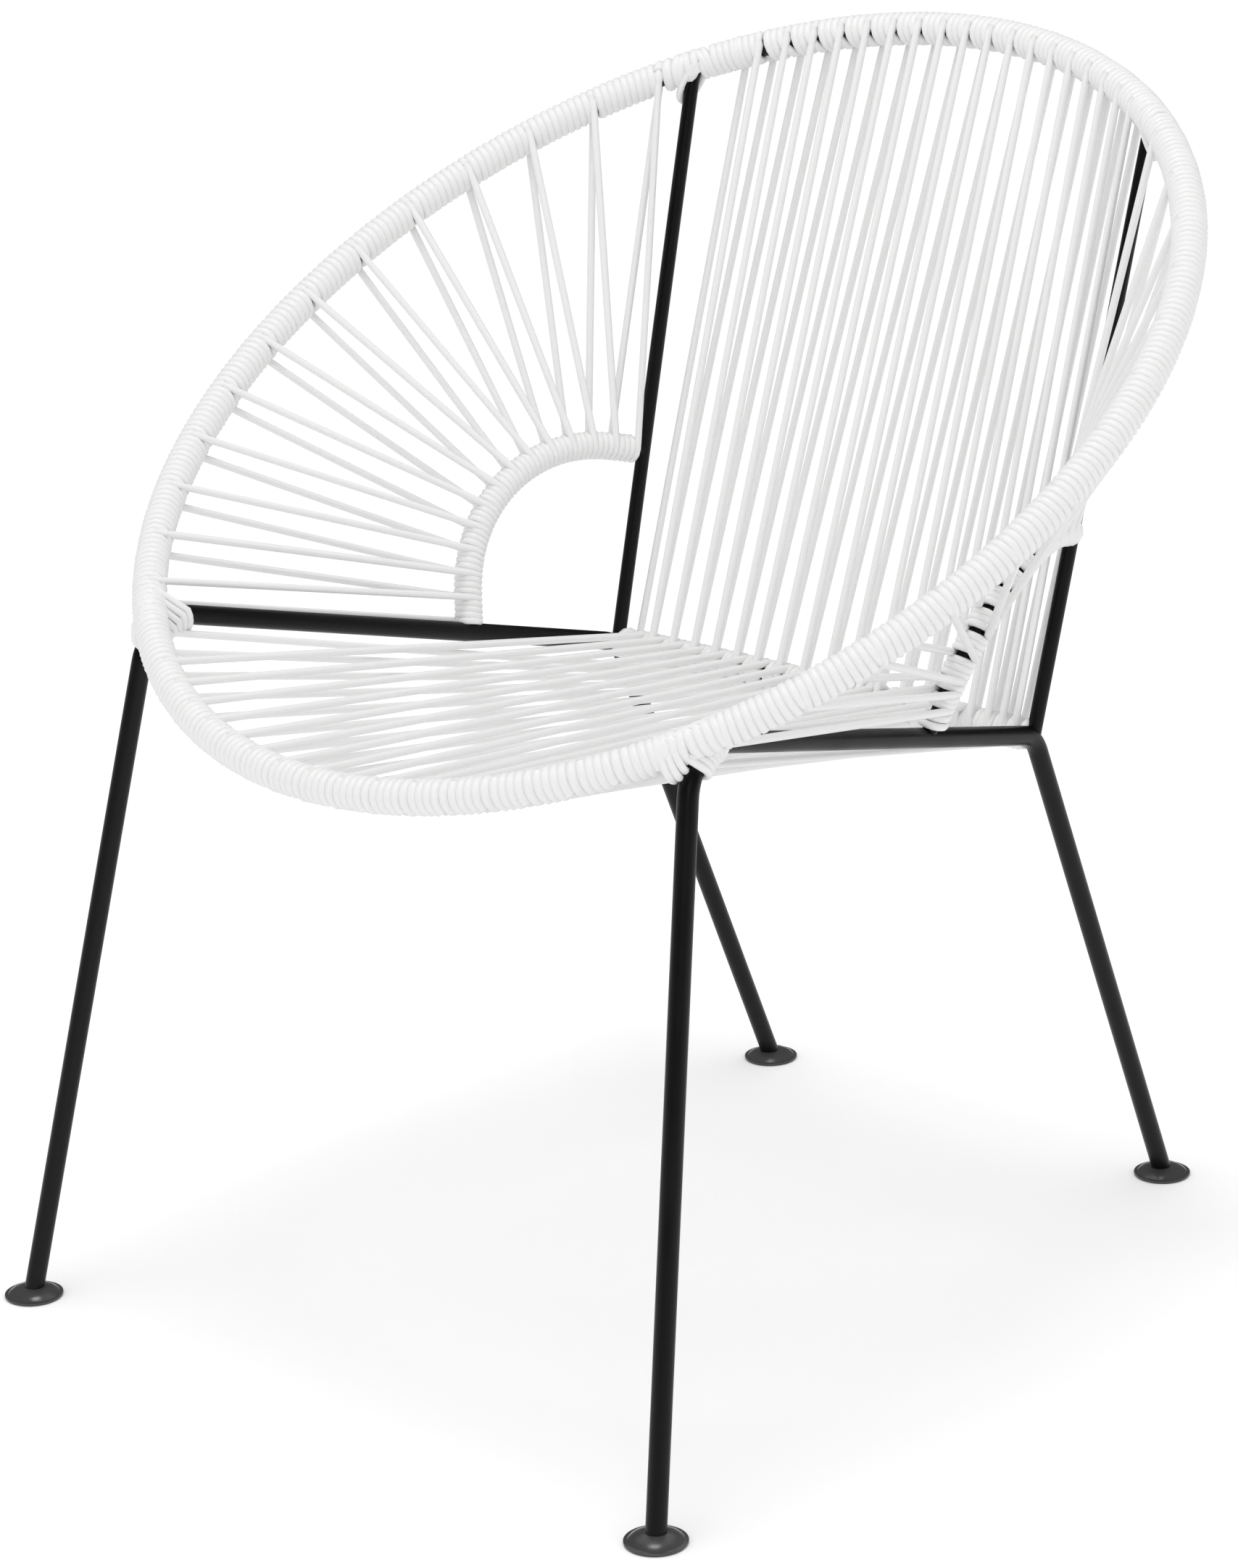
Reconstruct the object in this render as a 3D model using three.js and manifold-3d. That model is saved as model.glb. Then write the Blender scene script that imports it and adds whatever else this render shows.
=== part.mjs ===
// A patio chair: a tilted hoop of steel rod on two bent side frames, wound and strung with white cord.
// Millimetres, +Z up, the sitter faces -Y. The origin is under the middle of the chair, on the floor.
import * as THREE from "three";
import { mergeVertices } from "three/addons/utils/BufferGeometryUtils.js";
import Module from "manifold-3d";

const wasm = await Module();
wasm.setup();

// Rods, cord and the clearance between pieces that touch
const frameRod = 12.7;
const postRod = 9.5;
const armRod = 9.5;
const cord = 4.7;
const clearance = 0.3;

// Hoop, as its rod's centreline; its two joints are given by their angle from the right-hand end
const hoopHalfWidth = 337.6;
const hoopHalfLength = 357.9;
const hoopHeight = 578.9;
const hoopTilt = THREE.MathUtils.degToRad(30.2);
const postAngle = THREE.MathUtils.degToRad(55.4);
const frontJointAngle = THREE.MathUtils.degToRad(-47.4);

// Side frames: how far in from the hoop's ends their feet and rear corners lie, and how far from its middle
const frontFootInset = 63.6;
const frontFootForward = 325.6;
const rearFootInset = 161.4;
const rearFootBack = 292.6;
const rearCornerInset = 158;
const rearCornerBack = 148.2;
const rearCornerHeight = 348.6;
const frontBendRadius = 31;
const rearBendRadius = 25;

// Arm arcs: reach along the rail and up the post, with straight ends and a lean outwards
const armReach = 132;
const armStraight = 25.5;
const armLean = THREE.MathUtils.degToRad(20);
const armEndShare = 0.5;
const armCordEndShare = 1;

// Foot discs
const discDiameter = 38;
const discRimHeight = 2;
const discDomeHeight = 6.6;
const legSeatHeight = 3;

// Cord work: stations on the hoop and how far the outer ones lie from the joints
const backStations = 19;
const backHoopMargin = 26;
const backRailMargin = 13.1;
const seatStations = 16;
const seatHoopMargin = 29.9;
const sideStations = 13;
const sideHoopMargin = 24;
const hoopPairShare = 0.5;
const railPairSpread = 3;
const lashingLength = 26;

// Facets
const rodSides = 8;
const cordSides = 5;
const hoopSteps = 48;
const sleeveStep = 30;
const bendSteps = 6;
const armSteps = 12;
const discSides = 20;
const weldTolerance = 1e-4;

const steel = { color: 0x17171a, roughness: 0.42, metalness: 0.35 };
const whiteCord = { color: 0xf1f1ef, roughness: 0.45, metalness: 0 };

// Points and directions
const vec = (x, y, z) => new THREE.Vector3(x, y, z);
const along = (point, direction, distance) => point.clone().addScaledVector(direction, distance);
const towards = (from, to) => to.clone().sub(from).normalize();
const mirrored = (point, side) => vec(point.x * side, point.y, point.z);
const wrapRadius = frameRod / 2 + cord;
const strandOffset = (rod) => rod / 2 + cord / 2;
const hoopPairSpread = cord * hoopPairShare;

// The hoop at an angle: its centre point, tangent, outward normal in its plane, and its plane's normal
const hoopUp = vec(0, -Math.sin(hoopTilt), Math.cos(hoopTilt));
function hoopFrame(angle) {
  const slope = vec(0, Math.cos(hoopTilt), Math.sin(hoopTilt));
  const centre = vec(hoopHalfWidth * Math.cos(angle), 0, hoopHeight);
  centre.addScaledVector(slope, hoopHalfLength * Math.sin(angle));
  const tangent = vec(-hoopHalfWidth * Math.sin(angle), 0, 0);
  tangent.addScaledVector(slope, hoopHalfLength * Math.cos(angle)).normalize();
  return { centre, tangent, out: tangent.clone().cross(hoopUp).normalize(), up: hoopUp };
}

// Length along the hoop between two angles, and the angle that lies a given length after another
function hoopSpeed(angle) {
  return Math.hypot(hoopHalfWidth * Math.sin(angle), hoopHalfLength * Math.cos(angle));
}
function hoopLength(from, to) {
  const steps = 64;
  let sum = 0;
  for (let i = 0; i < steps; i++) {
    sum += (hoopSpeed(from + ((i + 0.5) * (to - from)) / steps) * (to - from)) / steps;
  }
  return sum;
}
function hoopAngleAfter(from, length) {
  const steps = 32;
  let angle = from;
  for (let i = 0; i < steps; i++) {
    const half = angle + length / steps / hoopSpeed(angle) / 2;
    angle += length / steps / hoopSpeed(half);
  }
  return angle;
}

// Side frame corners, for the side that is -1 on the sitter's right and 1 on the left
const frontFoot = vec(hoopHalfWidth - frontFootInset, -frontFootForward, legSeatHeight);
const rearFoot = vec(hoopHalfWidth - rearFootInset, rearFootBack, legSeatHeight);
const rearCorner = vec(hoopHalfWidth - rearCornerInset, rearCornerBack, rearCornerHeight);
const postTop = hoopFrame(postAngle).centre;

// The front bend's shoulder touches the underside of the hoop's rod
function frontCornerPoint() {
  const joint = hoopFrame(frontJointAngle).centre;
  const toFoot = towards(joint, frontFoot);
  const toRail = towards(joint, rearCorner);
  const inward = toFoot.clone().add(toRail).normalize();
  const halfAngle = toFoot.angleTo(toRail) / 2;
  const shoulder = frontBendRadius * (1 / Math.sin(halfAngle) - 1);
  return along(joint, inward, frameRod + clearance - shoulder);
}
const frontCorner = frontCornerPoint();
const railDirection = towards(rearCorner, frontCorner);
const postDirection = towards(rearCorner, postTop);
const sideNormal = railDirection.clone().cross(postDirection).normalize();
if (sideNormal.x < 0) sideNormal.negate();

// A path through listed points, with one extrusion step for each stretch
class RodPath extends THREE.Curve {
  constructor(points) {
    super();
    this.points = points;
  }
  getPoint(t, target = new THREE.Vector3()) {
    const last = this.points.length - 1;
    const place = Math.min(Math.max(t, 0), 1) * last;
    const index = Math.min(Math.floor(place), last - 1);
    return target.lerpVectors(this.points[index], this.points[index + 1], place - index);
  }
  getPointAt(u, target) {
    return this.getPoint(u, target);
  }
  getTangentAt(u, target = new THREE.Vector3()) {
    const index = Math.round(u * (this.points.length - 1));
    const before = this.points[Math.max(index - 1, 0)];
    const here = this.points[index];
    const after = this.points[Math.min(index + 1, this.points.length - 1)];
    target.copy(after).sub(here).normalize();
    return target.add(here.clone().sub(before).normalize()).normalize();
  }
}

// A bend between two straight stretches, as points on its arc
function bendPoints(before, corner, after, radius) {
  const first = towards(corner, before);
  const second = towards(corner, after);
  const halfAngle = first.angleTo(second) / 2;
  const inward = first.clone().add(second).normalize();
  const middle = along(corner, inward, radius / Math.sin(halfAngle));
  const start = along(corner, first, radius / Math.tan(halfAngle)).sub(middle);
  const turn = Math.PI - 2 * halfAngle;
  const axis = first.clone().cross(second).normalize().negate();
  const points = [];
  for (let i = 0; i <= bendSteps; i++) {
    points.push(start.clone().applyAxisAngle(axis, (turn * i) / bendSteps).add(middle));
  }
  return points;
}

function roundSection(radius, sides) {
  const corners = [];
  for (let i = 0; i < sides; i++) {
    const angle = (2 * Math.PI * i) / sides;
    corners.push(new THREE.Vector2(radius * Math.cos(angle), radius * Math.sin(angle)));
  }
  return new THREE.Shape(corners);
}

function tube(path, steps, radius, sides) {
  const options = { steps, bevelEnabled: false, extrudePath: path };
  return new THREE.ExtrudeGeometry(roundSection(radius, sides), options);
}

// Solids for cutting and joining
function solid(geometry) {
  const bare = geometry.index ? geometry.toNonIndexed() : geometry.clone();
  bare.deleteAttribute("normal");
  bare.deleteAttribute("uv");
  const merged = mergeVertices(bare, weldTolerance);
  const triVerts = new Uint32Array(merged.index.array);
  const vertProperties = merged.attributes.position.array;
  const made = new wasm.Manifold(new wasm.Mesh({ numProp: 3, vertProperties, triVerts }));
  if (made.volume() > 0) return made;
  for (let i = 0; i < triVerts.length; i += 3) {
    [triVerts[i + 1], triVerts[i + 2]] = [triVerts[i + 2], triVerts[i + 1]];
  }
  return new wasm.Manifold(new wasm.Mesh({ numProp: 3, vertProperties, triVerts }));
}
function joined(solids) {
  return solids.reduce((sum, next) => sum.add(next));
}
function cut(body, cutters) {
  return cutters.reduce((left, cutter) => left.subtract(cutter), body);
}
function geometryOf(body) {
  const mesh = body.getMesh();
  const geometry = new THREE.BufferGeometry();
  geometry.setAttribute("position", new THREE.BufferAttribute(mesh.vertProperties, mesh.numProp));
  geometry.setIndex(new THREE.BufferAttribute(mesh.triVerts, 1));
  geometry.computeVertexNormals();
  return geometry;
}

// Rods, at their own size or thicker by a clearance when they cut a bore or a seat
function hoopRing(extra) {
  const ring = new THREE.TorusGeometry(hoopHalfWidth, frameRod / 2 + extra, rodSides, hoopSteps);
  const place = ring.attributes.position;
  for (let i = 0; i < place.count; i++) {
    const frame = hoopFrame(Math.atan2(place.getY(i), place.getX(i)));
    const outward = Math.hypot(place.getX(i), place.getY(i)) - hoopHalfWidth;
    const point = along(along(frame.centre, frame.out, outward), frame.up, place.getZ(i));
    place.setXYZ(i, point.x, point.y, point.z);
  }
  return solid(ring);
}
function sideFrameRoute(side) {
  const route = [
    frontFoot,
    ...bendPoints(frontFoot, frontCorner, rearCorner, frontBendRadius),
    ...bendPoints(frontCorner, rearCorner, rearFoot, rearBendRadius),
    rearFoot,
  ];
  return route.map((point) => mirrored(point, side));
}
function bentRod(points, diameter, extra) {
  const path = new RodPath(points);
  return solid(tube(path, points.length - 1, diameter / 2 + extra, rodSides));
}
const sideFrameRod = (side, extra) => bentRod(sideFrameRoute(side), frameRod, extra);
const postRoute = (side) => [mirrored(rearCorner, side), mirrored(postTop, side)];
const postBar = (side, extra) => bentRod(postRoute(side), postRod, extra);
const railRoute = [mirrored(rearCorner, -1), mirrored(rearCorner, 1)];
const railBar = (extra) => bentRod(railRoute, frameRod, extra);

// The arm arc's centreline: straight off the rail, a quarter bend, and straight into the post.
// Its ends stop short of the other rods' centrelines, by a share of their radius
class ArmCurve extends THREE.Curve {
  constructor(side, endShare) {
    super();
    this.side = side;
    this.endShare = endShare;
  }
  getPoint(t, target = new THREE.Vector3()) {
    const radius = armReach - armStraight;
    const bend = (radius * Math.PI) / 2;
    const start = (frameRod / 2) * this.endShare;
    const end = bend + 2 * armStraight - (postRod / 2) * this.endShare;
    const run = start + t * (end - start);
    const turn = Math.min(Math.max(run - armStraight, 0), bend) / radius;
    const rise = Math.min(run, armStraight);
    const rest = Math.max(run - armStraight - bend, 0);
    const forward = armStraight + radius * Math.cos(turn) - rest;
    const upward = rise + radius * Math.sin(turn);
    const lean = (Math.tan(armLean) * (forward + upward - armReach)) / Math.SQRT2;
    target.copy(rearCorner).addScaledVector(railDirection, forward);
    target.addScaledVector(postDirection, upward).addScaledVector(sideNormal, Math.max(lean, 0));
    return target.setX(target.x * this.side);
  }
}
const armBar = (side, extra) =>
  solid(tube(new ArmCurve(side, armEndShare), armSteps, armRod / 2 + extra, rodSides));

// Foot disc: a flat underside, a thin rim and a low dome that the leg stands on
function footDisc(place, extra) {
  const radius = discDiameter / 2 + extra;
  const top = discDomeHeight + extra;
  const shoulder = discRimHeight + extra;
  const domeShares = [0.92, 0.72, 0.4];
  const profile = [new THREE.Vector2(0, -extra), new THREE.Vector2(radius, -extra)];
  profile.push(new THREE.Vector2(radius, shoulder));
  for (const share of domeShares) {
    const rise = (top - shoulder) * Math.sqrt(1 - share * share);
    profile.push(new THREE.Vector2(radius * share, shoulder + rise));
  }
  profile.push(new THREE.Vector2(0, top));
  const disc = new THREE.LatheGeometry(profile, discSides);
  disc.rotateX(Math.PI / 2);
  disc.translate(place.x, place.y, 0);
  return solid(disc);
}

// A wound sleeve: rings of points round a line of frames, closed at both ends
function sleeve(frames, radius) {
  const corners = [];
  for (const frame of frames) {
    for (let i = 0; i < rodSides; i++) {
      const angle = (2 * Math.PI * (i + 0.5)) / rodSides;
      const point = along(frame.centre, frame.out, radius * Math.cos(angle));
      corners.push(along(point, frame.up, radius * Math.sin(angle)));
    }
  }
  const first = corners.length;
  corners.push(frames[0].centre, frames[frames.length - 1].centre);
  const lastRing = (frames.length - 1) * rodSides;
  const faces = [];
  for (let i = 0; i < rodSides; i++) {
    const next = (i + 1) % rodSides;
    for (let a = 0; a < lastRing; a += rodSides) {
      const b = a + rodSides;
      faces.push(a + i, a + next, b + next, a + i, b + next, b + i);
    }
    faces.push(first, next, i, first + 1, lastRing + i, lastRing + next);
  }
  const geometry = new THREE.BufferGeometry().setFromPoints(corners);
  return solid(geometry.setIndex(faces));
}
function hoopSleeve(from, to, radius) {
  const length = hoopLength(from, to);
  const steps = Math.round(length / sleeveStep);
  const frames = [];
  for (let i = 0; i <= steps; i++) {
    frames.push(hoopFrame(hoopAngleAfter(from, (length * i) / steps)));
  }
  return sleeve(frames, radius);
}
function armSleeve(curve, normal) {
  const frames = [];
  for (let i = 0; i <= armSteps; i++) {
    const tangent = curve.getTangentAt(i / armSteps);
    const up = normal.clone().addScaledVector(tangent, -normal.dot(tangent)).normalize();
    frames.push({ centre: curve.getPointAt(i / armSteps), up, out: tangent.cross(up) });
  }
  return sleeve(frames, armRod / 2 + cord);
}

// Where a strand lies against a rod: on the given side of it, square to rod and strand
function seatOn(place, direction, facing, distance) {
  const lift = place.tangent.clone().cross(direction).normalize();
  if (lift.dot(facing) < 0) lift.negate();
  return along(place.centre, lift, distance);
}
const hoopPlace = (angle) => hoopFrame(angle);
const railPlace = (x) => ({ centre: vec(x, rearCorner.y, rearCorner.z), tangent: vec(1, 0, 0) });
const armPlace = (curve, share) => ({
  centre: curve.getPointAt(share),
  tangent: curve.getTangentAt(share),
});

// A strand of the fan, stretched between the hoop and the arm arc
function fanStrand(top, foot, facing) {
  const direction = towards(top.centre, foot.centre);
  const start = seatOn(top, direction, facing, strandOffset(frameRod));
  const end = seatOn(foot, direction, facing, strandOffset(armRod));
  return solid(tube(new RodPath([start, end]), 1, cord / 2, cordSides));
}

// Two strands that meet in a loop round the rear rail; each comes from its own place on the hoop
const loopRadius = (strandOffset(frameRod) + clearance) / Math.cos(Math.PI / rodSides);
function loopStrands(firstTop, secondTop, x, facing) {
  const tops = [firstTop, secondTop];
  const ends = [1, -1].map((end, i) => {
    const foot = railPlace(x - (end * facing.spread) / 2);
    const direction = towards(tops[i].centre, foot.centre);
    const side = facing.direction.clone().multiplyScalar(end);
    return {
      top: seatOn(tops[i], direction, side, strandOffset(frameRod)),
      foot: seatOn(foot, direction, side, loopRadius),
      direction,
    };
  });
  const middle = railPlace(x).centre;
  const far = ends[0].direction.clone().setX(0).normalize();
  const points = [ends[0].top, ends[0].foot];
  for (const [toEnd, share] of [[0, 0.5], [0, 0], [1, 0.5]]) {
    const outward = ends[toEnd].foot.clone().sub(middle).setX(0).normalize();
    const turn = outward.multiplyScalar(share).addScaledVector(far, 1 - share).normalize();
    const x0 = (ends[toEnd].foot.x - middle.x) * share;
    points.push(along(middle, turn, loopRadius).add(vec(x0, 0, 0)));
  }
  points.push(ends[1].foot, ends[1].top);
  return solid(tube(new RodPath(points), points.length - 1, cord / 2, cordSides));
}

// Where the hoop's four wound stretches begin and end
const rightPost = postAngle;
const leftPost = Math.PI - postAngle;
const rightJoint = frontJointAngle;
const leftJoint = -Math.PI - frontJointAngle;
const endStep = clearance / 2 / hoopHalfWidth;
const stretch = (from, to) => hoopSleeve(from + endStep, to - endStep, wrapRadius);

const cutters = {
  hoop: hoopRing(clearance),
  rail: railBar(clearance),
  left: [sideFrameRod(-1, clearance), postBar(-1, clearance), armBar(-1, clearance)],
  right: [sideFrameRod(1, clearance), postBar(1, clearance), armBar(1, clearance)],
};
const allRods = [cutters.hoop, cutters.rail, ...cutters.left, ...cutters.right];

// Back cord: turns on the top of the hoop, and two strands from each station to a loop on the rail
const backRailPitch = (2 * (rearCorner.x - backRailMargin)) / (backStations - 1);
const backRailX = (station) => (station - (backStations - 1) / 2) * backRailPitch;
function backCord() {
  const pieces = [stretch(rightPost, leftPost)];
  const spare = hoopLength(rightPost, leftPost) - 2 * backHoopMargin;
  for (let i = 0; i < backStations; i++) {
    const reach = backHoopMargin + (spare * i) / (backStations - 1);
    const tops = [1, -1].map((end) =>
      hoopPlace(hoopAngleAfter(rightPost, reach + (end * hoopPairSpread) / 2)),
    );
    const facing = { direction: vec(0, 1, 0), spread: railPairSpread };
    pieces.push(loopStrands(tops[0], tops[1], -backRailX(i), facing));
  }
  return cut(joined(pieces), allRods);
}

// Seat cord: its loops on the rear rail lie midway between those of the back cord
const seatGaps = backStations - 1;
function seatCord() {
  const pieces = [stretch(leftJoint, rightJoint)];
  const spare = hoopLength(leftJoint, rightJoint) - 2 * seatHoopMargin;
  for (let i = 0; i < seatStations; i++) {
    const gap = Math.round((i * (seatGaps - 1)) / (seatStations - 1));
    const x = backRailX(gap + 0.5);
    const reach = seatHoopMargin + (spare * i) / (seatStations - 1);
    const tops = [1, -1].map((end) =>
      hoopPlace(hoopAngleAfter(leftJoint, reach + (end * hoopPairSpread) / 2)),
    );
    const facing = { direction: vec(0, 0, 1), spread: -railPairSpread };
    pieces.push(loopStrands(tops[0], tops[1], x, facing));
  }
  return cut(joined(pieces), allRods);
}

// Side cord: turns from the front joint to the post, a fan of strands, and turns on the arm arc
function sideCord(side, neighbour) {
  const from = side > 0 ? rightJoint : leftPost;
  const to = side > 0 ? rightPost : leftJoint + 2 * Math.PI;
  const curve = new ArmCurve(side, armCordEndShare);
  const normal = mirrored(sideNormal, side);
  const pieces = [stretch(from, to), armSleeve(curve, normal)];
  const spare = hoopLength(from, to) - 2 * sideHoopMargin;
  for (let i = 0; i < sideStations; i++) {
    const station = side > 0 ? i : sideStations - 1 - i;
    const reach = sideHoopMargin + (spare * i) / (sideStations - 1);
    for (const half of [-1, 1]) {
      const top = hoopPlace(hoopAngleAfter(from, reach + (half * hoopPairSpread) / 2));
      const share = (station + 0.5 + (half * side) / 4) / sideStations;
      const facing = normal.clone().multiplyScalar(half);
      pieces.push(fanStrand(top, armPlace(curve, share), facing));
    }
  }
  pieces.push(cut(jointLashing(side), [neighbour]));
  return cut(joined(pieces), allRods);
}

// Turns that bind the front bend to the hoop and run a little way along the side rail
function jointLashing(side) {
  const route = sideFrameRoute(side).slice(1 + bendSteps / 2, 2 + bendSteps);
  const railEnd = mirrored(railDirection, side).negate();
  route.push(along(route[route.length - 1], railEnd, lashingLength));
  return bentRod(route, 2 * wrapRadius - clearance, 0);
}

// The finished chair
const chair = new THREE.Group();
function place(name, body, finish) {
  const mesh = new THREE.Mesh(geometryOf(body), new THREE.MeshStandardMaterial(finish));
  mesh.name = name;
  chair.add(mesh);
}

place("rim_hoop", hoopRing(0), steel);
place("rear_cross_rail", cut(railBar(0), [...cutters.left, ...cutters.right]), steel);
const seatKeepOut = hoopSleeve(leftJoint, rightJoint, wrapRadius + 2 * clearance);
for (const [hand, side] of [["left", 1], ["right", -1]]) {
  const [frameCutter, postCutter] = side > 0 ? cutters.right : cutters.left;
  const feet = { front: mirrored(frontFoot, side), rear: mirrored(rearFoot, side) };
  const footCutters = Object.values(feet).map((foot) => footDisc(foot, clearance));
  place(`${hand}_side_frame`, cut(sideFrameRod(side, 0), footCutters), steel);
  place(`${hand}_back_post`, cut(postBar(side, 0), [frameCutter, cutters.hoop]), steel);
  place(`${hand}_arm_arc`, cut(armBar(side, 0), [frameCutter, postCutter]), steel);
  for (const [end, foot] of Object.entries(feet)) {
    place(`${end}_${hand}_foot_disc`, footDisc(foot, 0), steel);
  }
  place(`${hand}_side_cord`, sideCord(side, seatKeepOut), whiteCord);
}
place("back_cord", backCord(), whiteCord);
place("seat_cord", seatCord(), whiteCord);

// The chair stands with the middle of its outline over the origin
const hoopReach = hoopHalfLength * Math.cos(hoopTilt) + wrapRadius;
const frontReach = Math.max(frontFootForward + discDiameter / 2, hoopReach);
const rearReach = Math.max(rearFootBack + discDiameter / 2, hoopReach);
chair.position.y = (frontReach - rearReach) / 2;

export default chair;
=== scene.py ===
import bisect
import math

import bpy
from mathutils import Matrix, Vector


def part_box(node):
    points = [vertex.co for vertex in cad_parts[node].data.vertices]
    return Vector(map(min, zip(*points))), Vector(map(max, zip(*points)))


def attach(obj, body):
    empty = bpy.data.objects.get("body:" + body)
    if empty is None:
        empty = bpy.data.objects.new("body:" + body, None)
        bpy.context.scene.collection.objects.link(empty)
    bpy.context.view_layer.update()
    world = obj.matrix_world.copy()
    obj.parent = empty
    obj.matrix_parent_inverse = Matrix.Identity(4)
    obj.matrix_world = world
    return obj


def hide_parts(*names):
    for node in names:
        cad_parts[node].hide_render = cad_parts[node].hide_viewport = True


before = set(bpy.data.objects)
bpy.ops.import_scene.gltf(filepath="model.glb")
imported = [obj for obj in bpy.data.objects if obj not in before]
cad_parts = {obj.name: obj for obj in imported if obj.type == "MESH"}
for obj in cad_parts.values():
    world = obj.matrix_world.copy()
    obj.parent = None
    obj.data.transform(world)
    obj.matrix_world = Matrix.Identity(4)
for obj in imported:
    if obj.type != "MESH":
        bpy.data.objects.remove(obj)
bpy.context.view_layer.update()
bpy.ops.object.select_all(action="DESELECT")
print("frame loaded")

# the chair's skeleton as the solids have it, in metres and degrees; corners are those of the sitter's left side
chair = {
    "frameRod": 0.0127,
    "postRod": 0.0095,
    "armRod": 0.0095,
    "cord": 0.0050,
    "hoopHalfWidth": 0.3376,
    "hoopHalfLength": 0.3579,
    "hoopHeight": 0.5789,
    "hoopTilt": 30.2,
    "postAngle": 55.4,  # where the post meets the hoop
    "jointAngle": -47.4,  # where the front leg meets the hoop
    "frontFoot": (0.2740, -0.3256, 0.0030),
    "rearFoot": (0.1762, 0.2926, 0.0030),
    "rearCorner": (0.1796, 0.1482, 0.3486),
    "frontBend": 0.031,
    "rearBend": 0.025,
    "jointDrop": 0.0130,  # from the hoop's axis down to the side frame's
}

fullTurn = 2 * math.pi
halfTurn = math.pi
quarterTurn = math.pi / 2

hoopLow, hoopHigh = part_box("rim_hoop")
shift = Vector((0, (hoopLow.y + hoopHigh.y) / 2, 0))  # the solids stand over the middle of the outline
tilt = math.radians(chair["hoopTilt"])
hoopSlope = Vector((0, math.cos(tilt), math.sin(tilt)))
hoopUp = Vector((0, -math.sin(tilt), math.cos(tilt)))
postAngle = math.radians(chair["postAngle"])
jointAngle = math.radians(chair["jointAngle"])
hoopRadius = chair["frameRod"] / 2  # the rail's too
armRadius = chair["armRod"] / 2


def hoopFrame(angle):
    # centre, tangent, outward normal in the hoop's plane, and the plane's own normal
    wide, long = chair["hoopHalfWidth"], chair["hoopHalfLength"]
    centre = Vector((wide * math.cos(angle), 0, chair["hoopHeight"])) + shift
    centre += hoopSlope * long * math.sin(angle)
    tangent = Vector((-wide * math.sin(angle), 0, 0)) + hoopSlope * long * math.cos(angle)
    tangent.normalize()
    return centre, tangent, tangent.cross(hoopUp).normalized(), hoopUp


# distance along the hoop, from its angle -pi on; one and a half rounds, so that every stretch runs on unbroken
hoopSteps = 3000
hoopAngles = [-halfTurn + 1.5 * fullTurn * i / hoopSteps for i in range(hoopSteps + 1)]
hoopDistances = [0.0]
for before, after in zip(hoopAngles, hoopAngles[1:]):
    middle = (before + after) / 2
    speed = math.hypot(chair["hoopHalfWidth"] * math.sin(middle), chair["hoopHalfLength"] * math.cos(middle))
    hoopDistances.append(hoopDistances[-1] + speed * (after - before))


def between(value, known, wanted):
    i = min(max(bisect.bisect_left(known, value), 1), len(known) - 1)
    share = (value - known[i - 1]) / (known[i] - known[i - 1])
    return wanted[i - 1] + (wanted[i] - wanted[i - 1]) * share


def hoopRod(distance):
    return hoopFrame(between(distance, hoopDistances, hoopAngles))


def hoopStop(angle):
    return between(angle, hoopAngles, hoopDistances)


def mirrored(point, side):
    return Vector((point.x * side, point.y, point.z))


def bendOf(before, corner, after, radius):
    # a rounded corner: where it starts and ends, its centre, axis and angle
    first, second = (before - corner).normalized(), (after - corner).normalized()
    half = first.angle(second) / 2
    centre = corner + (first + second).normalized() * radius / math.sin(half)
    start = corner + first * radius / math.tan(half)
    end = corner + second * radius / math.tan(half)
    return start, end, centre, first.cross(second).normalized(), math.pi - 2 * half


# corners of the side frame, for the sitter's left side; the right one mirrors them
frontFoot = Vector(chair["frontFoot"]) + shift
rearFoot = Vector(chair["rearFoot"]) + shift
rearCorner = Vector(chair["rearCorner"]) + shift
postTop = hoopFrame(postAngle)[0]
jointCentre = hoopFrame(jointAngle)[0]
toFoot = (frontFoot - jointCentre).normalized()
toRail = (rearCorner - jointCentre).normalized()
cornerPastBend = chair["frontBend"] * (1 / math.sin(toFoot.angle(toRail) / 2) - 1)
frontCorner = jointCentre + (toFoot + toRail).normalized() * (chair["jointDrop"] - cornerPastBend)
bendStart, bendEnd, bendCentre, bendAxis, bendAngle = bendOf(frontFoot, frontCorner, rearCorner, chair["frontBend"])
railWay = (frontCorner - rearCorner).normalized()
postWay = (postTop - rearCorner).normalized()
sideNormal = railWay.cross(postWay).normalized()
if sideNormal.x < 0:
    sideNormal.negate()

# the arch between seat rail and post: two straight ends and a quarter bend that leans outwards
arm = {"reach": 0.132, "straight": 0.0255, "lean": 20.0, "steps": 64, "nudge": 0.002}
armBend = (arm["reach"] - arm["straight"]) * quarterTurn
armLength = armBend + 2 * arm["straight"]


def armPoint(run):
    radius = arm["reach"] - arm["straight"]
    turn = min(max(run - arm["straight"], 0), armBend) / radius
    rest = max(run - arm["straight"] - armBend, 0)
    forward = arm["straight"] + radius * math.cos(turn) - rest
    upward = min(run, arm["straight"]) + radius * math.sin(turn)
    lean = math.tan(math.radians(arm["lean"])) * (forward + upward - arm["reach"]) / math.sqrt(2)
    return rearCorner + railWay * forward + postWay * upward + sideNormal * max(lean, 0)


def armRod(side):
    def place(run):
        ahead, behind = armPoint(run + arm["nudge"]), armPoint(run - arm["nudge"])
        tangent = mirrored(ahead - behind, side).normalized()
        up = mirrored(sideNormal, side)
        up = (up - tangent * up.dot(tangent)).normalized()
        return mirrored(armPoint(run), side), tangent, tangent.cross(up), up

    return place


def railRod(x):
    centre = Vector((x, rearCorner.y, rearCorner.z))
    return centre, Vector((1, 0, 0)), Vector((0, -1, 0)), Vector((0, 0, -1))


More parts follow.
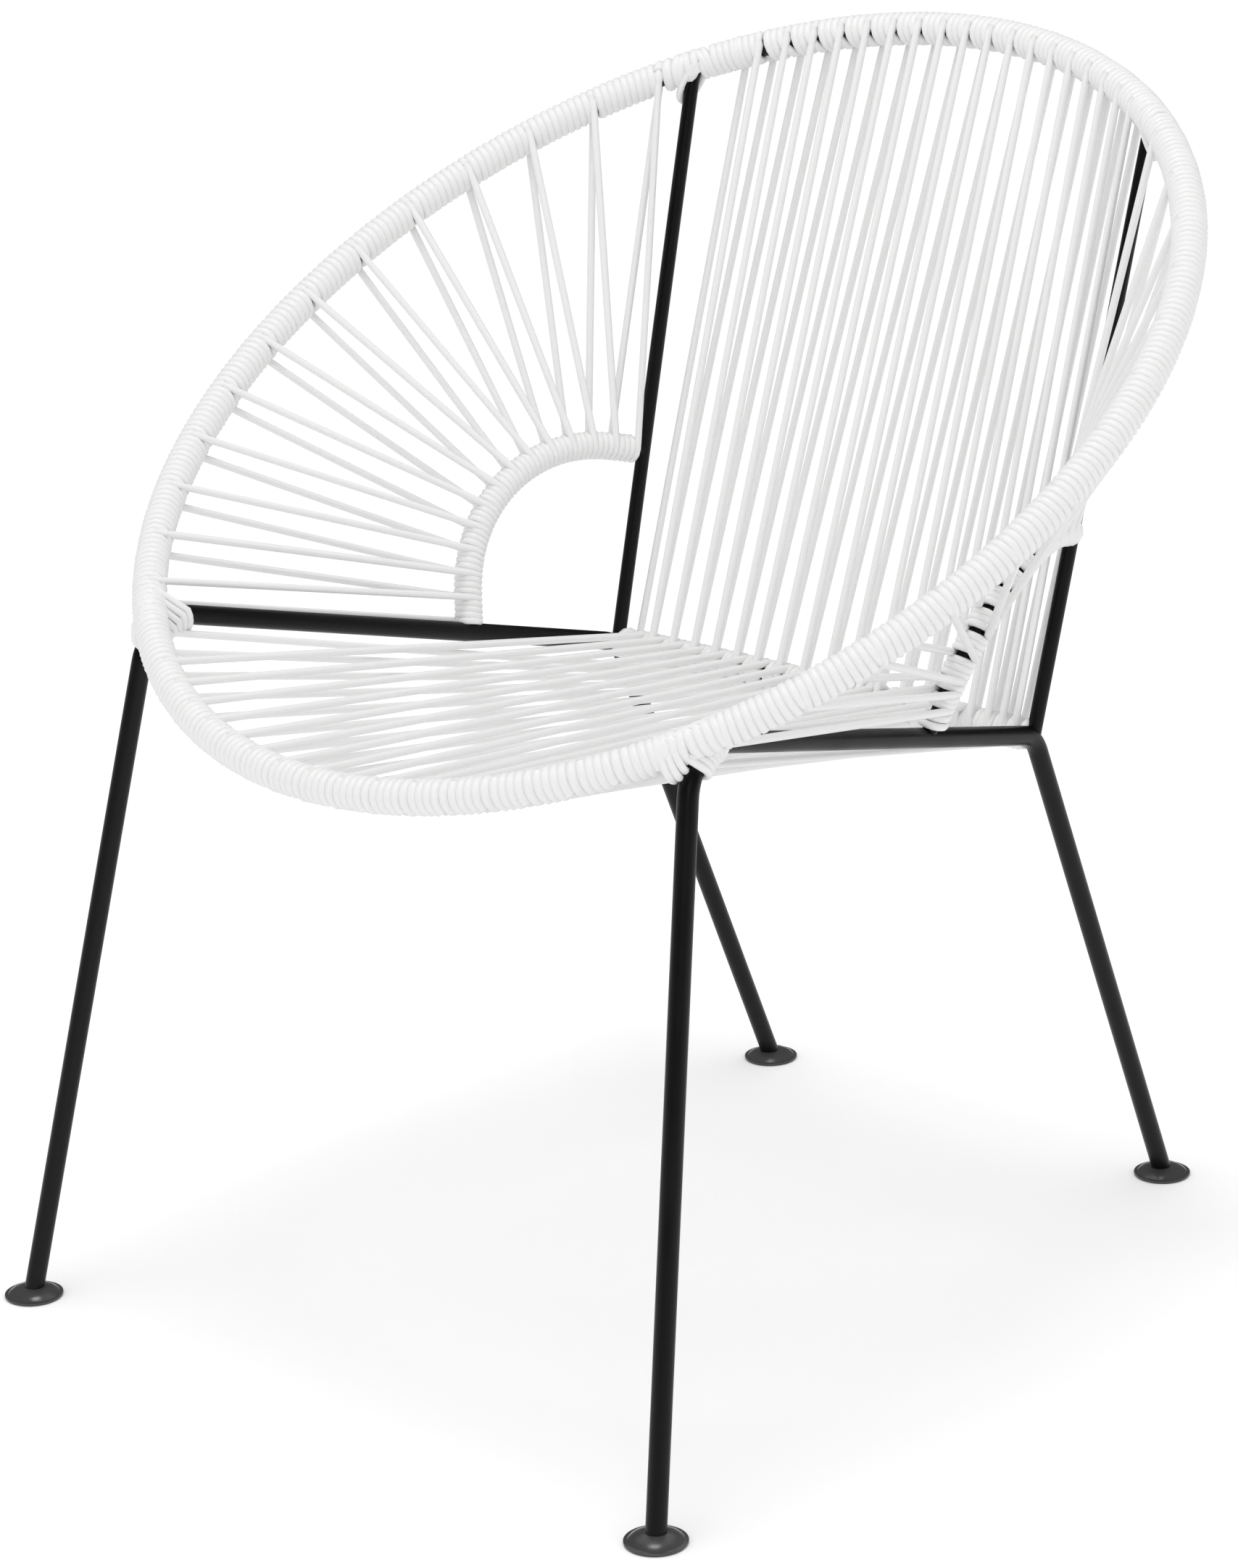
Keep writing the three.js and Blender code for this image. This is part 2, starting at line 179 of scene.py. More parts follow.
def framePlace(run):
    # the side frame's axis near its front bend: run is 0 in the middle of the bend and grows towards the rail
    outward = (frontCorner - bendCentre).normalized()
    along = (bendEnd - bendStart).normalized()
    most = bendAngle / 2
    turn = min(max(run / chair["frontBend"], -most), most)
    point = bendCentre + (outward * math.cos(turn) + along * math.sin(turn)) * chair["frontBend"]
    tangent = along * math.cos(turn) - outward * math.sin(turn)
    return point + tangent * (run - turn * chair["frontBend"]), tangent


# helpers that make pieces


def alone(piece):
    bpy.ops.object.select_all(action="DESELECT")
    piece.select_set(True)
    bpy.context.view_layer.objects.active = piece


def finished(piece, name, material, node):
    piece.name = name
    piece.data.name = name
    piece.data.materials.clear()
    piece.data.materials.append(material)
    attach(piece, "root")
    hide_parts(node)


def cordPiece(name, routes, thickness, sides=8):
    # each route is one length of cord: a line with a round section, then made a mesh
    data = bpy.data.curves.new(name, "CURVE")
    data.dimensions = "3D"
    data.bevel_depth = thickness / 2
    data.bevel_resolution = sides // 2 - 2
    data.use_fill_caps = True
    for route in routes:
        line = data.splines.new("POLY")
        line.points.add(len(route) - 1)
        for point, (place, wide) in zip(line.points, route):
            point.co = (place.x, place.y, place.z, 1)
            point.radius = wide
        line.use_smooth = True
    piece = bpy.data.objects.new(name, data)
    bpy.context.scene.collection.objects.link(piece)
    alone(piece)
    bpy.ops.object.convert(target="MESH")
    piece = bpy.context.view_layer.objects.active
    bpy.ops.object.shade_smooth_by_angle(angle=math.radians(50))
    return piece


# how the cord is wound: a place along a route is (point, share of the cord's thickness)
winding = {
    "turnWidth": 0.00505,  # from one turn to the next on the hoop
    "press": 1.28,  # how wide the turns are pressed on the hoop, as a share of the cord
    "footWidth": 0.0043,  # from one turn to the next on the rail and the arches
    "footPress": 1.06,
    "turnPlaces": 12,
    "bendReach": 0.004,  # a strand bends into its first turn over this length,
    "bendShare": 0.9,  # or over this share of the way to the next place, where that is less
    "backSlip": 0.0015,  # how far the turns slip off their even places: behind the hoop, on top and below
    "topSlip": 0.0003,
    "lowSlip": 0.0022,
    "lowLean": 0.0036,  # how far the last turn slants under the strand that leaves
    "leanPush": 2.2,  # and how much more it does where the strand leaves at a slant
}


def turnsOn(rod, radius, stops, startTurn, endTurn, wide=1.0):
    # stops are spread evenly over the turning; the cord is pressed wide and flat where it is wound
    reach = radius + chair["cord"] * (1 - wide / 2)
    steps = max(1, round(abs(endTurn - startTurn) / fullTurn * winding["turnPlaces"]))
    places = []
    for i in range(steps + 1):
        share = i / steps
        span = share * (len(stops) - 1)
        low = min(int(span), len(stops) - 2)
        stop = stops[low] + (stops[low + 1] - stops[low]) * (span - low)
        centre, tangent, out, up = rod(stop)
        turn = startTurn + (endTurn - startTurn) * share
        places.append((centre + (out * math.cos(turn) + up * math.sin(turn)) * reach, wide))
    return places


def touching(place, way, facing):
    # the angle at which a strand that runs that way touches the rod on the side it faces, and the sense of turning
    centre, tangent, out, up = place
    lift = tangent.cross(way).normalized()
    if lift.dot(facing) < 0:
        lift.negate()
    angle = math.atan2(lift.dot(up), lift.dot(out))
    motion = up * math.cos(angle) - out * math.sin(angle)
    return angle, 1 if motion.dot(way) > 0 else -1


def nearest(angle, wanted):
    return angle + fullTurn * round((wanted - angle) / fullTurn)


def evenStops(first, last, count):
    return [first + (last - first) * i / (count - 1) for i in range(count)]


def turnsAndHalf(length, width):
    return max(0, round(length / width - 0.5)) + 0.5


def pressedTo(width):
    # the share of its thickness to which the cord is pressed, so that turns of this width close up
    return winding["press"] * width / chair["cord"]


def softened(places, corners):
    # a strand bends into its first turn over a short length, not at a point
    route = []
    for i, (point, wide) in enumerate(places):
        if i in corners and 0 < i < len(places) - 1:
            toLast, toNext = places[i - 1][0] - point, places[i + 1][0] - point
            before = point + toLast.normalized() * min(winding["bendReach"], toLast.length * winding["bendShare"])
            after = point + toNext.normalized() * min(winding["bendReach"], toNext.length * winding["bendShare"])
            route += [(before, 1.0), ((before + after + point * 2) / 4, wide), (after, 1.0)]
        else:
            route.append((point, wide))
    return route


def stationStops(come, go, previous, lean, gap):
    # where the cord crosses the hoop at every quarter turn between two stations: come is where a strand comes back,
    # go where the next one leaves, previous where the last one left. The turns lie side by side on top, and the
    # last one slants under the strand that leaves. The gap is what stays bare in front, beside the last strand
    pitch = abs(go - previous)
    sign = 1 if go > previous else -1
    count = max(2, round(pitch / winding["turnWidth"]))
    width = pitch / count
    pushed = width - gap / (count - 1)
    stops = []
    for turn in range(count - 1, -1, -1):
        share = turn / (count - 1)
        back = -winding["backSlip"] + (abs(go - come) + winding["backSlip"]) * share
        top = width * turn - winding["topSlip"]
        front = pushed * turn
        low = front - winding["lowSlip"] if turn > 1 else -winding["lowLean"] * lean
        stops += [back, top, front] + ([low] if turn else [])
    return [go - sign * stop for stop in stops], width


def strungCord(stations, footRod, footRadius, facing, begin, end, gap=0.0):
    # one long cord: turns on the hoop, a strand to the other rod, turns there, a strand back to the hoop.
    # A station is (leaves the hoop, reaches the other rod, leaves it, comes back to the hoop); begin and end are
    # the places of the quarter turns at the cord's two ends, where it slants round a post or a joint
    sign = 1 if end[-1] > begin[0] else -1
    places, corners = [], set()
    place, turn, previous = begin[-1], None, None
    for leave, foot, footEnd, back in stations:
        hoopPlace, footPlace = hoopRod(leave), footRod(foot)
        way = (footPlace[0] - hoopPlace[0]).normalized()
        angle, sense = touching(hoopPlace, way, facing)
        if previous is None:
            turns = max(1, round(abs(leave - place) / winding["turnWidth"]))
            stops, width = begin + evenStops(place, leave, turns * 4 + 1)[1:], abs(leave - place) / turns
            turn = angle - sense * fullTurn * (turns + (len(begin) - 1) / 4)
            target = angle
        else:
            lean = way.dot(hoopPlace[1]) * sign * -winding["leanPush"]
            stops, width = stationStops(place, leave, previous, lean, gap)
            target = nearest(angle, turn + sense * quarterTurn * (len(stops) - 1))
        places += turnsOn(hoopRod, hoopRadius, stops, turn, target, pressedTo(width))
        corners.add(len(places) - 1)
        arrive, footSense = touching(footPlace, way, facing)
        returning = (footRod(footEnd)[0] - hoopRod(back)[0]).normalized()
        turns = turnsAndHalf(abs(footEnd - foot), winding["footWidth"])
        depart = touching(footRod(footEnd), returning, -facing)[0]
        depart = nearest(depart, arrive + footSense * fullTurn * turns)
        corners.add(len(places))
        places += turnsOn(footRod, footRadius, [foot, footEnd], arrive, depart, winding["footPress"])
        corners.add(len(places) - 1)
        previous, place = leave, back
        turn = nearest(touching(hoopRod(place), returning, -facing)[0], target + sense * halfTurn)
        corners.add(len(places))
    turns = turnsAndHalf(abs(end[0] - place), winding["turnWidth"])
    stops = evenStops(place, end[0], round(turns * 4) + 1) + end[1:]
    target = turn + sense * quarterTurn * (len(stops) - 1)
    width = abs(end[0] - place) / turns if turns > 1 else winding["turnWidth"]
    places += turnsOn(hoopRod, hoopRadius, stops, turn, target, pressedTo(width))
    return softened(places, corners)


# the back's cord; distances run along the hoop from the sitter's right post, feet lie along the rail
backString = {
    "begin": (0.0080, 0.0074, 0.0045, 0.0028, 0.0092, 0.0125, 0.0096, 0.0079, 0.0125),
    "finish": (0.0125, 0.0118, 0.0100, 0.0079, 0.0090, 0.0092, 0.0064, 0.0028, 0.0060, 0.0085),
    "first": 0.0504,
    "pitch": 0.0202,
    "comesBack": 0.0059,
    "gap": 0.0014,  # the black slot beside each strand in front
    "feet": (
        -0.142, -0.1237, -0.1045, -0.0857, -0.0664, -0.0486, -0.0286, -0.0082, 0.0128,
        0.0326, 0.0558, 0.0768, 0.0960, 0.1145, 0.1335, 0.148, 0.160, 0.1705,
    ),
    "footRun": 0.0150,  # how far the turns on the rail go, and how much less at each next station
    "footRunLess": 0.0005,
    "loneFoot": -0.1690,
    "loneTop": 0.0362,
    "loneFootHalves": 3,
    "loneFootRun": 0.003,
    "loneRise": (0.0, 0.002, 0.003),
    "loneTurn": 1.4,
    "lonePress": 1.1,
    "closing": 0.0521,
    "closingTurn": 1.3,
    "closingPress": 1.2,
    "railEnds": ((-0.1765, -0.145), (0.108, 0.1765)),
    "railWidth": 0.0052,
    "railSunk": 0.0007,
    "railPress": 1.05,
}


def backCord():
    start, end = hoopStop(math.pi - postAngle), hoopStop(postAngle)
    stations = []
    for i, foot in enumerate(backString["feet"]):
        leave = start - backString["first"] - backString["pitch"] * i
        footEnd = foot - backString["footRun"] + backString["footRunLess"] * i
        stations.append((leave, foot, footEnd, leave - backString["comesBack"]))
    begin = [start - stop for stop in backString["begin"]]
    finish = [end + stop for stop in backString["finish"]]
    facing = Vector((0, -1, 0))
    strung = strungCord(stations, railRod, hoopRadius, facing, begin, finish, backString["gap"])
    return [strung, loneStrand(start, -facing), closingTurn(start - backString["closing"])] + railTurns()


def loneStrand(start, facing):
    # the first strand to come back has no partner, because the cord was begun at the rail: it has a turn and a
    # half there, runs up behind the hoop and goes once over it
    foot, back = backString["loneFoot"], start - backString["loneTop"]
    top, low = hoopRod(back), railRod(foot)
    way = (top[0] - low[0]).normalized()
    leave, sense = touching(low, way, facing)
    arrive, hoopSense = touching(top, way, facing)
    stops = [foot - backString["loneFootRun"], foot]
    wound = leave - sense * halfTurn * backString["loneFootHalves"]
    rail = turnsOn(railRod, hoopRadius, stops, wound, leave, winding["footPress"])
    stops = [back + rise for rise in backString["loneRise"]]
    over = arrive + hoopSense * halfTurn * backString["loneTurn"]
    hoop = turnsOn(hoopRod, hoopRadius, stops, arrive, over, backString["lonePress"])
    return softened(rail + hoop, {len(rail) - 1, len(rail)})


def closingTurn(stop):
    # part of a turn behind the hoop closes the winding beside the first pair
    centre, tangent, out, up = hoopRod(stop)
    behind, reach = math.atan2(up.y, out.y), backString["closingTurn"]
    return turnsOn(hoopRod, hoopRadius, [stop, stop], behind - reach, behind + reach, backString["closingPress"])


def railTurns():
    # turns that close the wound rail at its ends, between the places where the strands hold on to it
    routes = []
    for first, last in backString["railEnds"]:
        turns = round((last - first) / backString["railWidth"])
        sunk = hoopRadius - backString["railSunk"]
        routes.append(turnsOn(railRod, sunk, [first, last], 0, fullTurn * turns, backString["railPress"]))
    return routes


# the seat's cord; distances run along the hoop from the sitter's right front joint, feet lie along the rail
seatString = {
    "upperCount": 16,
    "firstTurns": 3,  # lengths that are only wound, before the first strand over the seat
    "pitch": 0.0268,
    "upper": -0.0126,
    "lower": 0.0050,
    "lowest": 0.009,
    "upperFoot": -0.2102,
    "upperFootPitch": 0.0186,
    "lowerFoot": -0.1160,
    "lowerFootPitch": 0.0152,
    "footRun": 0.006,
    "footHalves": 2.6,
    "ringsFrom": 2,
    "ring": (0.0059, 0.0046, 0.0034, 0.0046, 0.0059),
    "ringPast": 0.2,
    "ringPress": 1.12,
    "startHalves": 10,
    "startPress": 1.06,
    "halves": 7,
    "stops": 15,
    "press": 1.08,
    "lastGap": 0.001,
    "lastWidth": 0.0052,
}


def seatCord():
    # every length comes up from the rail under the seat, is wound on the hoop and goes back over the seat
    start, end = hoopStop(-math.pi - jointAngle), hoopStop(jointAngle)
    over, press = Vector((0, 0, 1)), winding["press"]
    run, footTurn = seatString["footRun"], halfTurn * seatString["footHalves"]
    routes = []
    for i in range(seatString["upperCount"] + seatString["firstTurns"]):
        low = start + max(seatString["lower"] + seatString["pitch"] * i, seatString["lowest"])
        foot = seatString["lowerFoot"] + seatString["lowerFootPitch"] * i
        comes = (hoopRod(low)[0] - railRod(foot)[0]).normalized()
        leave, sense = touching(railRod(foot), comes, -over)
        stops = [foot + run, foot]
        places = turnsOn(railRod, hoopRadius, stops, leave - sense * footTurn, leave, winding["footPress"])
        corners = {len(places) - 1, len(places)}
        arrive, sense = touching(hoopRod(low), comes, -over)
        if i >= seatString["ringsFrom"]:
            # a ring beside the strand that comes up closes the winding there
            ring, past = [low + stop for stop in seatString["ring"]], sense * seatString["ringPast"]
            around = arrive + sense * fullTurn + past
            routes.append(turnsOn(hoopRod, hoopRadius, ring, arrive - past, around, press * seatString["ringPress"]))
        if i < seatString["firstTurns"]:
            around = arrive + sense * halfTurn * seatString["startHalves"]
            stops = evenStops(low, low - seatString["pitch"], seatString["startHalves"] * 2 + 1)
            places += turnsOn(hoopRod, hoopRadius, stops, arrive, around, press * seatString["startPress"])
        else:
            high = start + seatString["upper"] + seatString["pitch"] * i
            foot = seatString["upperFoot"] + seatString["upperFootPitch"] * i
            goes = (railRod(foot)[0] - hoopRod(high)[0]).normalized()
            angle, sense = touching(hoopRod(high), goes, over)
            target = nearest(angle, arrive + sense * halfTurn * seatString["halves"])
            stops = evenStops(low, high, seatString["stops"])
            places += turnsOn(hoopRod, hoopRadius, stops, arrive, target, press * seatString["press"])
            corners.add(len(places) - 1)
            arrive, sense = touching(railRod(foot), goes, over)
            corners.add(len(places))
            stops = [foot, foot - run]
            places += turnsOn(railRod, hoopRadius, stops, arrive, arrive + sense * footTurn, winding["footPress"])
        routes.append(softened(places, corners))
    # the turns between the last strand and the far joint
    turns = round((end - low) / seatString["lastWidth"])
    routes.append(turnsOn(hoopRod, hoopRadius, [low + seatString["lastGap"], end], 0, fullTurn * turns, press))
    return routes


# a side's cord; margins lie along the hoop at the post and at the joint, runs go along the arch from its front end
sideString = {
    "stations": 13,
    "begin": (-0.0040, 0.0076, 0.0050, 0.0026, 0.0080, 0.0125, 0.0105, 0.0077, 0.0115),
    "margins": {1: (0.0295, 0.0215), -1: (0.024, 0.024)},
    "comesBack": 0.0024,
    "firstFoot": 0.006,  # short of the arch's top end
    "lastFoot": 0.008,
    "footShift": 0.12,
    "footRun": 0.0138,
    "lastRaised": {1: 0.008, -1: 0.0},  # the last strand of the near side reaches the arch higher up
    "lastShorter": 0.6,
    "lowGap": 0.0037,
    "lowest": 0.0065,
    "lowWidth": 0.0045,
}


def hoopPlaces(side):
    # where the side's post and front joint are along the hoop, and the way from one to the other
    post = hoopStop(postAngle if side > 0 else math.pi - postAngle)
    joint = hoopStop(jointAngle if side > 0 else math.pi - jointAngle)
    return post, joint, 1 if joint > post else -1


def sideCord(side):
    start, end, sign = hoopPlaces(side)
    margin, count, raised = sideString["margins"][side], sideString["stations"], sideString["lastRaised"][side]
    first = armLength - sideString["firstFoot"]
    step = (sideString["lastFoot"] - first) / count
    changes = {count - 2: (0, raised), count - 1: (raised, sideString["lastShorter"] * raised)}
    stations = []
    for i, stop in enumerate(evenStops(start + sign * margin[0], end - sign * margin[1], count)):
        higher, shorter = changes.get(i, (0, 0))
        foot = first + step * (i + sideString["footShift"]) + higher
        footEnd = foot - sideString["footRun"] + shorter
        stations.append((stop, foot, footEnd, stop + sign * sideString["comesBack"]))
    begin = [start + sign * stop for stop in sideString["begin"]]
    strung = strungCord(stations, armRod(side), armRadius, mirrored(-sideNormal, side), begin, [end])
    # turns from the last strand to the arch's lower end
    lowest = sideString["lowest"]
    left = max(0.001, footEnd - sideString["lowGap"] - lowest)
    turns = max(1, round(left / sideString["lowWidth"]))
    low = turnsOn(armRod(side), armRadius, [lowest + left, lowest], 0, fullTurn * turns, winding["footPress"])
    return [strung, low, postLoop(side), bendLash(side), hangingLash(side)] + postTurns(side)


# where cord binds the hoop to the legs and the posts
lash = {
    "turnPlaces": 16,
    "bendTurns": 7,
    "bendFrame": (-0.0085, 0.0205),  # along the side frame, from the middle of its bend
    "bendHoop": (-0.0155, 0.0195),  # along the hoop, from the joint
    "hangTurns": 3,
    "hangHoop": (0.0055, 0.0180),
    "hangDrop": (0.0030, 0.0075),
    "hangQuick": 2.2,  # how soon the full drop is reached
    "hangOut": 0.5,
    "postStops": (-0.0027, 0.0027),
    "postOpen": 0.85,  # left open round the post, to each side, in radians
    "postPress": 1.2,
    "loopPlaces": 45,
    "loopTurnPlaces": 20,
    "loopStart": 3,
    "loopDrop": 0.0118,  # half of the greatest sag
    "loopSag": 1.25,
    "loopSagEven": 1.19,
    "loopLow": 14,  # from this place on the loop sags more, over the next ones
    "loopLowPlaces": 12,
    "loopLowShare": 0.35,
}


def jointStop(side):
    return hoopStop(jointAngle if side > 0 else -math.pi - jointAngle)


def bendLash(side):
    # turns that bind the hoop and the side frame's bend together, towards the rail
    joint, sign = jointStop(side), hoopPlaces(side)[2]
    reach = (chair["frameRod"] + chair["cord"]) / 2
    count = lash["bendTurns"] * lash["turnPlaces"] + 1
    places = []
    for i, (run, stop) in enumerate(zip(evenStops(*lash["bendFrame"], count), evenStops(*lash["bendHoop"], count))):
        low, tangent = framePlace(run)
        low, tangent = mirrored(low, side), mirrored(tangent, side)
        high = hoopRod(joint - sign * stop)[0]
        up = high - low
        up = (up - tangent * up.dot(tangent)).normalized()
        turn = fullTurn * (i + 0.5) / lash["turnPlaces"]
        base = high if math.cos(turn) > 0 else low
        places.append((base + (up * math.cos(turn) + tangent.cross(up) * math.sin(turn)) * reach, 1.0))
    return places


def hangingLash(side):
    # looser turns on the seat's side of the leg, hanging a little below the hoop
    joint, sign = jointStop(side), hoopPlaces(side)[2]
    reach = (chair["frameRod"] + chair["cord"]) / 2
    steps = lash["hangTurns"] * lash["turnPlaces"]
    leastDrop, mostDrop = lash["hangDrop"]
    places = []
    for i, stop in enumerate(evenStops(*lash["hangHoop"], steps + 1)):
        high, tangent = hoopRod(joint + sign * stop)[:2]
        down = Vector((lash["hangOut"] * side, 0, -1))
        down = (down - tangent * tangent.dot(down)).normalized()
        turn = fullTurn * i / lash["turnPlaces"]
        drop = leastDrop + (mostDrop - leastDrop) * min(1, i / steps * lash["hangQuick"])
        base = high if math.cos(turn) > 0 else high + down * drop
        places.append((base + (down * -math.cos(turn) + tangent.cross(down) * math.sin(turn)) * reach, 1.0))
    return places


def postTurns(side):
    # the turns over the post's weld go only over the top: the post stands in their way below
    post = hoopPlaces(side)[0]
    down = mirrored(-postWay, side)
    routes = []
    for stop in lash["postStops"]:
        centre, tangent, out, up = hoopRod(post + stop)
        low = math.atan2(down.dot(up), down.dot(out))
        first, last = low + lash["postOpen"], low + fullTurn - lash["postOpen"]
        routes.append(turnsOn(hoopRod, hoopRadius, [post + stop] * 2, first, last, lash["postPress"]))
    return routes


def postLoop(side):
    # slanting turns round the top of the post, low on its outer side
    top, down = mirrored(postTop, side), mirrored(-postWay, side)
    ahead = down.cross(mirrored(sideNormal, side)).normalized()
    outer = ahead.cross(down).normalized()
    reach = (chair["postRod"] + chair["cord"]) / 2
    places = []
    for i in range(lash["loopPlaces"]):
        turn = fullTurn * (i - lash["loopStart"]) / lash["loopTurnPlaces"]
        later = min(1, max(0, (i - lash["loopLow"]) / lash["loopLowPlaces"]))
        sag = (1 - math.cos(turn)) ** lash["loopSag"] / lash["loopSagEven"]
        sag *= lash["loopLowShare"] + (1 - lash["loopLowShare"]) * later
        place = top + down * lash["loopDrop"] * sag
        places.append((place + (ahead * math.sin(turn) - outer * math.cos(turn)) * reach, 1.0))
    return places


# materials


def mottleGroup():
    # slow and fine unevenness of a surface, as two values
    group = bpy.data.node_groups.new("surfaceMottle", "ShaderNodeTree")
    for socket in ("Slow Scale", "Fine Scale"):
        group.interface.new_socket(socket, in_out="INPUT", socket_type="NodeSocketFloat")
    for socket in ("Slow", "Fine"):
        group.interface.new_socket(socket, in_out="OUTPUT", socket_type="NodeSocketFloat")
    nodes, links = group.nodes, group.links
    entry, leaving = nodes.new("NodeGroupInput"), nodes.new("NodeGroupOutput")
    where = nodes.new("ShaderNodeTexCoord")
    for scale, out, detail in (("Slow Scale", "Slow", 3), ("Fine Scale", "Fine", 2)):
        noise = nodes.new("ShaderNodeTexNoise")
        noise.inputs["Detail"].default_value = detail
        links.new(where.outputs["Object"], noise.inputs["Vector"])
        links.new(entry.outputs[scale], noise.inputs["Scale"])
        links.new(noise.outputs["Fac"], leaving.inputs[out])
    return group


mottle = mottleGroup()


def ranged(nodes, links, source, low, high, toLow, toHigh):
    node = nodes.new("ShaderNodeMapRange")
    node.inputs["From Min"].default_value = low
    node.inputs["From Max"].default_value = high
    node.inputs["To Min"].default_value = toLow
    node.inputs["To Max"].default_value = toHigh
    links.new(source, node.inputs["Value"])
    return node.outputs["Result"]


def blended(nodes, links, share, first, second):
    node = nodes.new("ShaderNodeMix")
    node.data_type = "RGBA"
    links.new(share, node.inputs["Factor"])
    node.inputs["A"].default_value = (*first, 1)
    node.inputs["B"].default_value = (*second, 1)
    return node


# colours are (where the mottle is low, where it is high), and so is the roughness; grain is the mottle's two scales
powderFinish = {
    "colors": ((0.0025, 0.0025, 0.0028), (0.005, 0.005, 0.0055)),
    "roughness": (0.28, 0.40),
    "shine": 0.22,
    "grain": (22, 900),
    "bump": (0.35, 0.00006),
}
# painted sheen: the disc is black powder coat, and the lighter grey of its dome is painted sheen from the lamp above;
# only the rim keeps the black
discPaintedSheenFinish = dict(
    powderFinish,
    colors=((0.036, 0.036, 0.038), (0.070, 0.070, 0.073)),
    roughness=(0.20, 0.28),
    shine=1.0,
    rimColor=(0.005, 0.005, 0.0055),
    paintedSheenHeights=(0.0008, 0.0018),  # the rim keeps the coat's black up to the first, and from the second on the dome has a painted sheen, a lighter grey
)
cordFinish = {
    "colors": ((0.845, 0.845, 0.842), (0.815, 0.816, 0.812)),
    "roughness": (0.34, 0.46),
    "shine": 0.5,
    "grain": (14, 500),
    "bump": (0.2, 0.00005),
}


def coat(name, finish):
    material = bpy.data.materials.new(name)
    material.use_nodes = True
    nodes, links = material.node_tree.nodes, material.node_tree.links
    shader = nodes["Principled BSDF"]
    shader.inputs["Roughness"].default_value = finish["roughness"][0]
    shader.inputs["Specular IOR Level"].default_value = finish["shine"]
    grain = nodes.new("ShaderNodeGroup")
    grain.node_tree = mottle
    grain.inputs["Slow Scale"].default_value, grain.inputs["Fine Scale"].default_value = finish["grain"]
    color = blended(nodes, links, grain.outputs["Slow"], *finish["colors"]).outputs["Result"]
    # painted sheen: below the first height the disc keeps the rim's black, and above the second the dome gets the
    # painted lighter grey
    if "paintedSheenHeights" in finish:
        where, height = nodes.new("ShaderNodeTexCoord"), nodes.new("ShaderNodeSeparateXYZ")
        links.new(where.outputs["Object"], height.inputs[0])
        above = ranged(nodes, links, height.outputs["Z"], *finish["paintedSheenHeights"], 0, 1)
        rim = blended(nodes, links, above, finish["rimColor"], finish["rimColor"])
        links.new(color, rim.inputs["B"])
        color = rim.outputs["Result"]
    links.new(color, shader.inputs["Base Color"])
    rough = ranged(nodes, links, grain.outputs["Slow"], 0.3, 0.7, *finish["roughness"])
    links.new(rough, shader.inputs["Roughness"])
    bump = nodes.new("ShaderNodeBump")
    bump.inputs["Strength"].default_value, bump.inputs["Distance"].default_value = finish["bump"]
    links.new(grain.outputs["Fine"], bump.inputs["Height"])
    links.new(bump.outputs["Normal"], shader.inputs["Normal"])
    return material


frameCoat = coat("frameCoat", powderFinish)
discPaintedSheenCoat = coat("discPaintedSheenCoat", discPaintedSheenFinish)
whiteCord = coat("whiteCord", cordFinish)
print("materials made")

# the steel frame
rods = {"sides": 28, "bendSteps": 14, "hoopSteps": 40, "hoopBevel": 10, "merge": 0.00001, "smooth": 40}


def roundRod(name, start, way, radius):
    # an open ring at the rod's start, square to its way, ready to be drawn out in edit mode
    turned = way.to_track_quat("Z", "Y").to_euler()
    bpy.ops.object.select_all(action="DESELECT")
    bpy.ops.mesh.primitive_circle_add(
        vertices=rods["sides"], radius=radius, fill_type="NOTHING", location=start, rotation=turned
    )
    piece = bpy.context.view_layer.objects.active
    piece.name = name
    bpy.ops.object.transform_apply(location=True, rotation=True, scale=True)
    bpy.ops.object.mode_set(mode="EDIT")
    bpy.ops.mesh.select_mode(type="VERT")
    bpy.ops.mesh.select_all(action="SELECT")
    return piece


def drawOut(value):
    bpy.ops.mesh.extrude_region_move(TRANSFORM_OT_translate={"value": value})


def bendRound(centre, axis, angle):
    bpy.ops.mesh.spin(steps=rods["bendSteps"], angle=angle, center=centre, axis=axis, dupli=False)


def closeRod():
    # both open ends get a cap
    bpy.ops.mesh.select_mode(type="VERT")
    bpy.ops.mesh.select_all(action="DESELECT")
    bpy.ops.mesh.select_non_manifold()
    bpy.ops.mesh.fill_holes(sides=0)
    bpy.ops.mesh.select_all(action="SELECT")
    bpy.ops.mesh.remove_doubles(threshold=rods["merge"])
    bpy.ops.mesh.normals_make_consistent(inside=False)
    bpy.ops.object.mode_set(mode="OBJECT")
    bpy.ops.object.shade_smooth_by_angle(angle=math.radians(rods["smooth"]))


def sideFrame(side):
    foot, front, rear, back = [mirrored(p, side) for p in (frontFoot, frontCorner, rearCorner, rearFoot)]
    piece = roundRod("sideFrame", foot, (front - foot).normalized(), hoopRadius)
    here = foot
    corners = ((foot, front, rear, chair["frontBend"]), (front, rear, back, chair["rearBend"]))
    for before, corner, after, radius in corners:
        start, end, centre, axis, angle = bendOf(before, corner, after, radius)
        drawOut(start - here)
        bendRound(centre, axis, angle)
        here = end
    drawOut(back - here)
    closeRod()
    return piece


def straightBar(name, start, end, radius):
    piece = roundRod(name, start, (end - start).normalized(), radius)
    drawOut(end - start)
    closeRod()
    return piece


